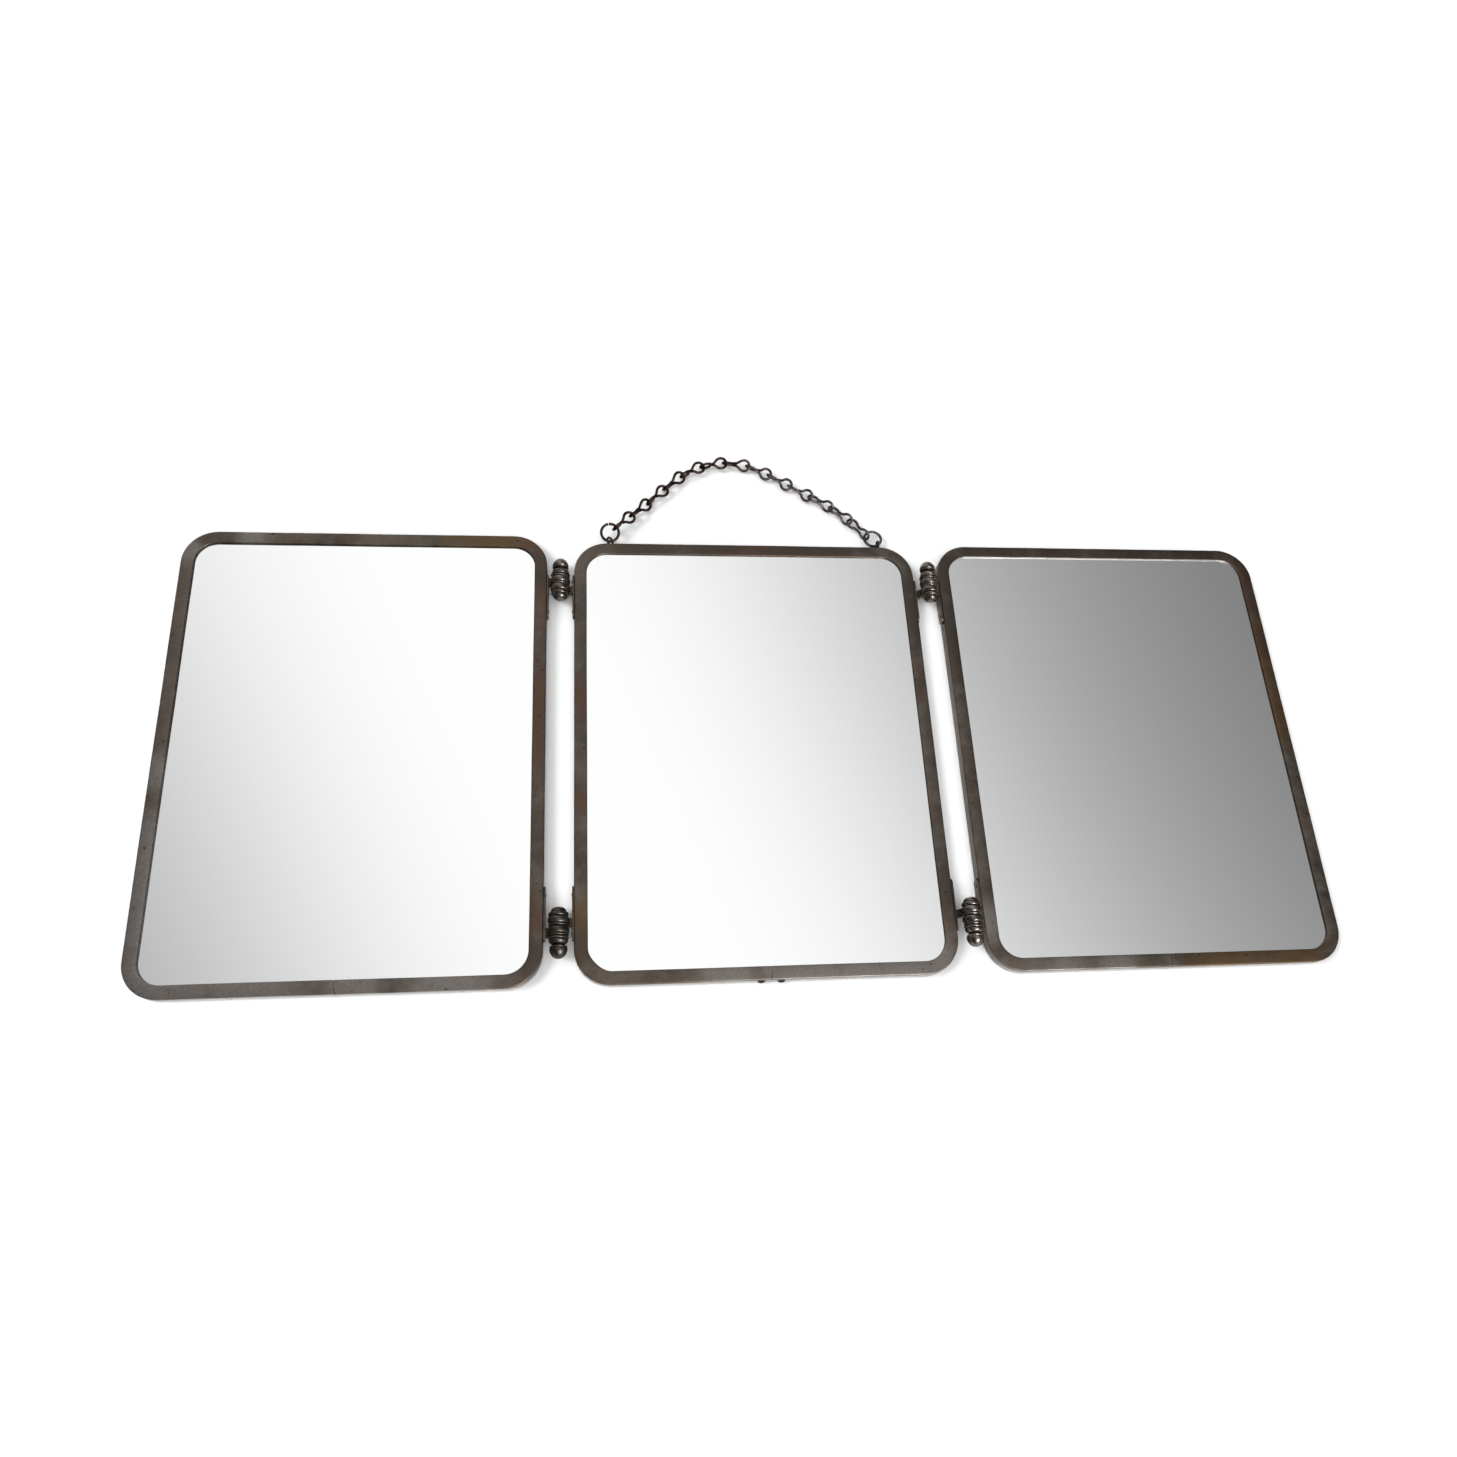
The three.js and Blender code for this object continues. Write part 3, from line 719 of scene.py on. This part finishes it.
def frame_piece(panel):
    low, high = box_mm(f"{panel}_frame")
    middle = (low + high) / 2
    stations = outline(high.x - low.x, high.y - low.y, CORNER_R, 18, spacing=4.0)
    section = strip_section()
    verts = []
    last = len(stations) - 1
    for index, (point, normal, share) in enumerate(stations):
        extra = share * FLAT_EXTRA if panel == "centre" else 0.0
        for inward, z in section:
            reach = inward + extra if inward > FLANGE_W / 2 else inward
            place = point - normal * reach
            if index in (0, last):
                place.x += SEAM_SLANT[panel] * (inward / FLANGE_W - 0.5)
            place = hand_made(place + Vector((middle.x, middle.y, 0)), UNEVENNESS)
            verts.append((place.x, place.y, z))
    faces = [tuple(reversed(f)) for f in ring_faces(len(stations), len(section), False, True)]
    faces.append(tuple(range(len(section))))
    faces.append(tuple(reversed(range(last * len(section), (last + 1) * len(section)))))
    obj = new_object(f"{panel}_frame_strip", verts, faces, smooth_degrees=50)
    mark_painted_light_and_grime(obj, gain=0.9)
    # Share of painted sheen for each vertex of the strip.
    bright = [painted_sheen_share(panel, normal, inward, z) for _, normal, _ in stations for inward, z in section]
    mark(obj, "painted_sheen", bright)
    return obj


def layered_sheet(name, size, radius, rings):
    """A closed sheet from rings of [inset, height], the first and the last filled flat."""
    verts = []
    per_ring = 0
    for inset, z in rings:
        loop = outline(size.x - 2 * inset, size.y - 2 * inset, max(radius - inset, 3.0), 12)
        per_ring = len(loop)
        verts += [(p.x, p.y, z) for p, _, _ in loop]
    faces = ring_faces(len(rings), per_ring, False, True)
    faces.append(tuple(reversed(range(per_ring))))
    faces.append(tuple(range((len(rings) - 1) * per_ring, len(rings) * per_ring)))
    return new_object(name, verts, faces)


def glass_piece(panel):
    low, high = box_mm(f"{panel}_mirror_glass")
    rings = [(0.3, low.z), (0.0, low.z + 0.3), (0.0, high.z - 0.3), (0.3, high.z), (5.0, high.z)]
    obj = layered_sheet(f"{panel}_mirror", high - low, CORNER_R - GLASS_INSET, rings)
    middle = (low + high) / 2
    placed(obj, middle.x, middle.y, 0)
    count = len(obj.data.vertices)
    inner = count * (len(rings) - 1) // len(rings)
    mark(obj, "rim", [0.0 if k >= inner else 1.0 for k in range(count)])
    return obj


def back_piece(panel):
    """Back sheet with a stamped bead round its edge; height 0 is its outer face."""
    low, high = box_mm(f"{panel}_back_plate")
    inner_face = [(20.0, BACK_T), (0.0, BACK_T)]
    bead = [(7.0, 0.0), (7.7, 0.14), (8.2, 0.42), (9.4, 0.42), (9.9, 0.14), (10.6, 0.0)]
    outer_face = [(0.0, 0.2), (0.2, 0.0), *bead, (20.0, 0.0)]
    obj = layered_sheet(f"{panel}_back_sheet", high - low, CORNER_R - BACK_INSET, inner_face + outer_face)
    obj.data.flip_normals()
    middle = (low + high) / 2
    placed(obj, middle.x, middle.y, low.z)
    mark_painted_light_and_grime(obj, gain=1.5)
    return obj


# Blots of the frames' metal: (x, y, radius) from the centre panel's middle. The lighter ones lie mostly on
# the bottom rails, the darker ones mostly on the top rails.
FRAME_PATINA = {
    "left": dict(
        seed=1.3,
        lighter_spots=(
            (-312, -58, 36), (-312, -12, 14), (-304, -118, 26), (-205, -124, 18), (-255, -125, 36),
            (-160, -124, 30), (-312, 118, 10), (-278, 127, 12), (-312, -84, 34), (-290, -124, 30),
        ),
        brass_spots=((-148, 127, 34),),
        red_spots=((-118, 20, 40), (-120, 104, 34), (-122, -92, 14)),
        dark_spots=((-118, -112, 14), (-118, 108, 18)),
    ),
    "centre": dict(
        seed=4.1,
        lighter_spots=((20, -124, 34), (46, -124, 26), (70, -124, 28), (-22, -124, 18), (88, -118, 12)),
        red_spots=((-97, 30, 16), (-97, -30, 10), (0, 124, 34)),
        brass_spots=((-97, -100, 20),),
        dark_spots=(
            (97, 80, 34), (40, 124, 40), (97, -80, 22), (-20, 124, 28), (-62, 124, 28), (-96, -106, 16),
        ),
    ),
    "right": dict(
        seed=7.7,
        lighter_spots=((150, -124, 22), (118, -100, 14), (185, -123, 14)),
        brass_spots=((250, -124, 34), (285, -122, 26), (312, 60, 30), (312, 20, 24)),
        red_spots=((312, 104, 30), (312, 64, 16)),
        dark_spots=(
            (118, 70, 44), (118, 108, 24), (150, 124, 40), (195, 124, 28), (235, 125, 40), (282, 124, 24),
        ),
    ),
}


def build_panels():
    splice = aged_nickel("splice_nickel", 11.0)
    board = straw_board("straw_board")
    for index, panel in enumerate(PANELS):
        body = BODY_OF_PANEL[panel]
        patina = aged_nickel(f"{panel}_frame_nickel", **FRAME_PATINA[panel])
        finish_piece(frame_piece(panel), patina, body, "nickelled_brass", f"{panel}_frame")
        mirror = silvered_glass(f"{panel}_silvered_glass", 2.0 + index)
        finish_piece(glass_piece(panel), mirror, body, "mirror_glass", f"{panel}_mirror_glass")
        sheet = tinned_sheet(f"{panel}_tinned_sheet", 5.0 + index)
        finish_piece(back_piece(panel), sheet, body, "back_sheet", f"{panel}_back_plate")
        for node, material in (("packing_board", board), ("splice_plate", splice)):
            mesh = frame["nodes"][f"{panel}_{node}"].data
            mesh.materials.clear()
            mesh.materials.append(material)


# ---------- hinges ----------
PLAIN_X = -5.8  # up to here a leaf is dull like the frame, past it glossy like the barrel


def rounded(points, steps=5):
    """Smooth curve through [radius, y] points."""
    padded = [points[0], *points, points[-1]]
    curve = []
    for k in range(1, len(padded) - 2):
        a, b, c, d = (Vector(p) for p in padded[k - 1:k + 3])
        square = 2 * a - 5 * b + 4 * c - d
        cube = 3 * b - a - 3 * c + d
        for t in (i / steps for i in range(steps)):
            curve.append(0.5 * (2 * b + (c - a) * t + square * t * t + cube * t ** 3))
    return [tuple(p) for p in curve] + [tuple(points[-1])]


def pin_profile():
    """Cap with a small button dome, seen at the hinge's inner end, and the pin behind it."""
    shaft_end = DOME_L + 2 * KNUCKLE_L + 3 * KNUCKLE_GAP + 3.4
    dome = rounded([(0.0, 0.0), (1.3, 0.1), (2.5, 0.45), (3.4, 1.1), (3.9, 1.9), (4.0, 2.5), (3.85, 2.75)])
    collar = rounded([(4.0, 2.85), (4.7, 3.0), (5.05, 3.5), (5.1, 4.1), (4.9, 4.6), (4.4, DOME_L)], 4)
    return [*dome, *collar, (1.8, DOME_L), (1.8, shaft_end - 0.4), (1.4, shaft_end), (0.0, shaft_end)]


def finial_profile():
    """Collar, bowl, neck and acorn with its rim, screwed on the hinge's outer end."""
    collar = rounded([(4.6, 0.0), (5.2, 0.15), (5.35, 0.55), (5.2, 0.95), (4.6, 1.15)], 4)
    bowl = rounded([
        (4.6, 1.3), (4.9, 1.6), (4.85, 2.3), (4.5, 3.0), (3.9, 3.6), (3.25, 4.05), (2.95, 4.35), (2.95, 4.6),
    ])
    rim = rounded([(3.3, 4.68), (4.2, 4.75), (4.55, 5.1), (4.3, 5.45)], 4)
    acorn = rounded([
        (4.25, 5.6), (4.5, 5.9), (4.55, 6.5), (4.4, 7.4), (4.0, 8.4), (3.45, 9.3), (2.8, 10.0), (2.0, 10.55),
        (1.1, 10.9), (0.0, 11.0),
    ])
    return [(BORE_R, 0.0), *collar, *bowl, *rim, *acorn, (0.0, 4.0), (BORE_R, 4.0)]


def knuckle_profile():
    """A long bead and a narrow ring, with deep grooves round them."""
    bead = rounded([
        (4.3, 0.0), (5.0, 0.2), (5.4, 1.0), (5.5, 2.0), (5.35, 2.9), (4.95, 3.4), (4.45, 3.55),
    ], 4)
    ring = rounded([(4.45, 3.65), (5.05, 3.8), (5.2, 4.2), (5.0, 4.6), (4.3, KNUCKLE_L)], 4)
    return [(BORE_R, 0.0), *bead, *ring, (BORE_R, KNUCKLE_L)]


def plate_yz(name, contour, x_from, x_to):
    """Flat solid with its contour of [y, z] points, from x_from to x_to."""
    count = len(contour)
    verts = [(x_from, y, z) for y, z in contour] + [(x_to, y, z) for y, z in contour]
    faces = [(k, (k + 1) % count, count + (k + 1) % count, count + k) for k in range(count)]
    faces.append(tuple(reversed(range(count))))
    faces.append(tuple(range(count, 2 * count)))
    obj = new_object(name, verts, faces)
    mesh = bmesh.new()
    mesh.from_mesh(obj.data)
    bmesh.ops.recalc_face_normals(mesh, faces=mesh.faces)
    mesh.to_mesh(obj.data)
    mesh.free()
    return obj


def bar_xz(name, contour, y_from, y_to):
    """Solid with its contour of [x, z] points, from y_from to y_to."""
    obj = plate_yz(name, contour, y_from, y_to)
    obj.data.transform(Matrix(((0, 1, 0, 0), (1, 0, 0, 0), (0, 0, 1, 0), (0, 0, 0, 1))))
    obj.data.flip_normals()
    return obj


def strap_contour(start, axis_z):
    """[x, z] outline of the strap from the leaf to the knuckle, which climbs where the axis is high."""
    if axis_z > CENTRE_HIGH.z + 2:
        top = axis_z - 2.4
        return [(start, 3.2), (-4.6, 4.6), (-2.6, 7.6), (-2.6, top), (-4.4, top), (start, 6.9)]
    return [(start, 3.0), (-4.4, 3.1), (-3.0, 4.2), (-3.0, 6.6), (start, 6.6)]


def leaf_piece(name, leaf_from, leaf_to, knuckle_from, axis_z):
    """Leaf for the wall on the barrel's -X side: plate, strap, knuckle and two rivets."""
    wall_side = -PANEL_GAP / 2
    face = wall_side + LEAF_T
    z0, z1 = LEAF_Z
    radius = (z1 - z0) / 2
    end = [(leaf_from + radius - radius * math.sin(a), z0 + radius + radius * math.cos(a))
           for a in (math.radians(15 * k) for k in range(13))]
    plate = plate_yz(name, [(leaf_to, z0), (leaf_to, z1), *end], wall_side, face)
    bevelled(plate, 0.18)
    contour = strap_contour(wall_side + 0.4, axis_z)
    strap = bevelled(bar_xz("strap", contour, knuckle_from + 0.3, knuckle_from + KNUCKLE_L - 0.3), 0.25)
    knuckle = placed(lathe("knuckle", knuckle_profile()), 0, knuckle_from, axis_z)
    rivet = rounded([(1.3, 0.0), (1.25, 0.25), (0.9, 0.5), (0.45, 0.62), (0.0, 0.66)], 3)
    rivets = []
    for y in (leaf_from + 4.5, leaf_to - 3.0):
        head = lathe("rivet", rivet, 20)
        head.data.transform(Matrix.Rotation(math.radians(-90), 4, "Z"))
        rivets.append(placed(head, face - 0.25, y, z0 + radius))
    leaf = united(plate, strap, knuckle, *rivets)
    mark(leaf, "plain", [1.0 if vertex.co.x < PLAIN_X * MM else 0.0 for vertex in leaf.data.vertices])
    return leaf


def build_hinges():
    joints = {joint["name"]: Vector(joint["pos_m"]) / MM for joint in frame["joints"]}
    for index, (row, side, up, dome_tip, leaf_from, roughness, tone) in enumerate(HINGES):
        label = f"hinge_{row}_{side}"
        patina = hinge_nickel(f"{label}_nickel", 21.0 + 3 * index, roughness, tone)
        axis = joints[f"{side}_wing_fold"]
        centre_side = -1 if side == "left" else 1
        leaf_to = dome_tip + LEAF_PAST
        inner = dome_tip + DOME_L + KNUCKLE_GAP
        outer = inner + KNUCKLE_L + KNUCKLE_GAP
        finial = outer + KNUCKLE_L + KNUCKLE_GAP
        centre_leaf = leaf_piece("leaf", leaf_from, leaf_to, inner, axis.z)
        wing_leaf = leaf_piece("leaf", leaf_from, leaf_to, outer, axis.z)
        pieces = (
            ("centre_leaf", centre_leaf, centre_side, "centre"),
            ("wing_leaf", wing_leaf, -centre_side, f"{side}_wing"),
            ("pin", placed(lathe("pin", pin_profile()), 0, dome_tip, axis.z), 1, "centre"),
            ("finial", placed(lathe("finial", finial_profile()), 0, finial, axis.z), 1, "centre"),
        )
        for kind, obj, across, body in pieces:
            obj.name = f"{label}_{kind}_turned"
            placed(obj, axis.x, MIDDLE_Y, 0, flip_x=across, flip_y=up)
            mark_painted_light_and_grime(obj, gain=1.6)
            finish_piece(obj, patina, body, "hinge_brass", f"{label}_{kind}")


# ---------- screws, eyelets, rings and chain ----------
SLOT_TURNS = (25, -40)  # degrees, of the left and the right screw


def screw_piece(node):
    """Domed slotted head on the bottom wall, with its shank."""
    low, high = box_mm(node)
    middle = (low + high) / 2
    radius = (high.x - low.x) / 2
    head = rounded([(0.0, 0.0), (0.7, 0.06), (1.4, 0.28), (radius - 0.08, 0.62), (radius, 0.8)], 4)
    obj = lathe("screw", [*head, (radius, 0.9), (0.8, 0.9), (0.8, high.y - low.y), (0.0, high.y - low.y)], 32)
    slot = plate_yz("slot", [(-0.5, -0.22), (0.42, -0.22), (0.42, 0.22), (-0.5, 0.22)], -3, 3)
    slot_turn = SLOT_TURNS[0] if middle.x < 0 else SLOT_TURNS[1]
    slot.data.transform(Matrix.Rotation(math.radians(slot_turn), 4, "Y"))
    united(obj, slot, operation="DIFFERENCE")
    placed(obj, middle.x, low.y, middle.z)
    mark_painted_light_and_grime(obj)
    return obj


EYE_R = 2.4
EYE_WIRE = 0.65
EYE_OUT = 3.2
EYE_Z = 4.1
EYE_SHANK = 0.7
LEFT_EYE_X, RIGHT_EYE_X = -79.3, 81.3
LEFT_EYE_TURN, RIGHT_EYE_TURN = 49, 90
RING_R = 5.05
RIGHT_RING_LEAN = 30
LEFT_RING_TILT = 28
SLOPED_LINKS, SLOPE = 2, 6.85  # the first links come down from the tilted ring
LOOP_HALF_W = 3.2
WAIST = 0.83
TWIST_L = 2.2
LINK_PLAY = 0.35
FIRST_ROUND_LINK = 8
DROP_LINK, ROUND_LINK = 0.2, 0.6  # how round the loops of a link are
WIRE_SIDES = 12
# Heading and roll of each link in degrees, from the left ring to the right one.
LINKS = (
    (44, 106), (44, 122), (44, 100), (42, 122), (30, 102), (12, 104), (-8, 134),
    (-26, 116), (-32, 118), (-32, 122), (-32, 150), (-40, -30), (-48, -12),
)


def eyelet_piece(node, turn):
    """Wire eye on a threaded shank through the top wall, with a small collar."""
    angles = [math.radians(10 * k) for k in range(36)]
    circle = [(EYE_R * math.sin(angle), EYE_R * math.cos(angle), 0) for angle in angles]
    eye = tube("eye", circle, EYE_WIRE, 14)
    wall = -EYE_OUT
    shank = lathe("shank", [
        (0.0, wall - 2.0), (0.5, wall - 2.0), (EYE_SHANK, wall - 1.7), (EYE_SHANK, -EYE_R), (0.0, -EYE_R),
    ], 24)
    rim = rounded([(1.2, wall + 0.15), (1.45, wall + 0.3), (1.45, wall + 0.55), (1.1, wall + 0.8)], 3)
    collar = lathe("collar", [(0.0, wall + 0.15), *rim, (0.0, wall + 0.8)], 24)
    united(eye, shank, collar)
    low, high = box_mm(node)
    place = ((low.x + high.x) / 2, high.y - EYE_R - EYE_WIRE, (low.z + high.z) / 2)
    placed(eye, *place, turn=Euler((0, math.radians(turn), 0)))
    mark_painted_light_and_grime(eye)
    return eye


def ring_path():
    """A wire ring whose ends almost meet, out of round by a hair."""
    gap = 4
    angles = [math.radians(100 + gap / 2 + (360 - gap) * k / 60) for k in range(61)]
    return [(RING_R * 1.01 * math.cos(angle), RING_R * 0.99 * math.sin(angle), 0) for angle in angles]


def link_path(length, roundness):
    """Closed wire of a figure-eight link along +X, its second loop turned a quarter.

    Its loops are drops at roundness 0 and circles at 1.
    """
    half = length / 2
    bend = half - LOOP_HALF_W
    right = []
    for k in range(1, 13):
        x = bend * k / 12
        drop = WAIST + (LOOP_HALF_W - WAIST) * math.sin(math.pi / 2 * k / 12) ** 1.1
        circle = max(WAIST, math.sqrt(max(0.0, LOOP_HALF_W ** 2 - (x - bend) ** 2)))
        right.append((x, drop + (circle - drop) * roundness))
    for k in range(1, 9):
        angle = math.radians(90 - 90 * k / 9)
        right.append((bend + LOOP_HALF_W * math.cos(angle), LOOP_HALF_W * math.sin(angle)))
    left = [(-x, width) for x, width in reversed(right)]

    def strand(side):
        points = []
        for x, width in [*left, (0.0, WAIST), *right]:
            turn = math.pi / 4 * (1 + max(-1.0, min(1.0, x / TWIST_L)))
            points.append((half + x, side * width * math.cos(turn), side * width * math.sin(turn)))
        return points

    return [*strand(1), (length, 0, 0), *reversed(strand(-1)), (0, 0, 0)]


def heading(degrees):
    angle = math.radians(degrees)
    return Vector((math.cos(angle), math.sin(angle), 0))


def build_chain():
    wire = chain_wire("chain_wire")
    metal = aged_nickel("eyelet_nickel", 31.0, tone=0.3)
    for side, turn in (("left", LEFT_EYE_TURN), ("right", RIGHT_EYE_TURN)):
        node = f"eyelet_{side}"
        finish_piece(eyelet_piece(node, turn), metal, "centre", "hinge_brass", node).name = f"{node}_wire"

    eye_y = CENTRE_HIGH.y + EYE_OUT
    left_eye = Vector((LEFT_EYE_X, eye_y, EYE_Z))
    right_eye = Vector((RIGHT_EYE_X, eye_y, EYE_Z))
    left_ring = left_eye + Vector((0, RING_R, 0))
    right_ring = right_eye + heading(90 + RIGHT_RING_LEAN) * RING_R
    hook = RING_R - 2 * WIRE_R - LINK_PLAY
    tilt = Matrix.Rotation(math.radians(LEFT_RING_TILT), 4, "X")
    start = left_eye + tilt @ (left_ring + heading(LINKS[0][0]) * hook - left_eye)
    end = right_ring - heading(LINKS[-1][0]) * hook

    overlap = 2 * WIRE_R + LINK_PLAY
    pitches = [math.radians(SLOPE) if index < SLOPED_LINKS else 0.0 for index in range(len(LINKS))]
    steps = [heading(degrees) * math.cos(pitch) for (degrees, _), pitch in zip(LINKS, pitches)]
    reach = sum(steps, Vector((0, 0, 0)))
    span = (end - start).xy.to_3d()
    length = (span.length + overlap * reach.length - overlap) / reach.length
    swing = math.atan2(span.y, span.x) - math.atan2(reach.y, reach.x)
    joint = start.copy()
    for index, ((degrees, roll), pitch) in enumerate(zip(LINKS, pitches), 1):
        turn = Euler((math.radians(roll), pitch, math.radians(degrees) + swing))
        path = link_path(length, DROP_LINK if index < FIRST_ROUND_LINK else ROUND_LINK)
        link = placed(tube(f"chain_link_{index:02d}_wire", path, WIRE_R, WIRE_SIDES), *joint, turn=turn)
        finish_piece(link, wire, "chain", "chain_wire", f"chain_link_{index:02d}")
        joint += turn.to_matrix() @ Vector((length - overlap, 0, 0))

    left = tube("chain_ring_left_wire", ring_path(), WIRE_R, WIRE_SIDES, closed=False)
    left.data.transform(tilt)
    placed(left, *(left_eye + tilt @ (left_ring - left_eye)))
    right = tube("chain_ring_right_wire", ring_path(), WIRE_R, WIRE_SIDES, closed=False)
    placed(right, *right_ring)
    for side, ring in (("left", left), ("right", right)):
        finish_piece(ring, wire, "chain", "chain_wire", f"chain_ring_{side}")


def build_screws():
    steel = aged_nickel("screw_steel", 41.0, tone=0.3)
    for side in ("left", "right"):
        node = f"centre_splice_screw_{side}"
        finish_piece(screw_piece(node), steel, "centre", "screw_steel", node).name = f"{node}_slotted"


# ---------- scene ----------
make_camera()
make_floor()
make_world()
make_lights()
build_panels()
build_hinges()
build_screws()
build_chain()
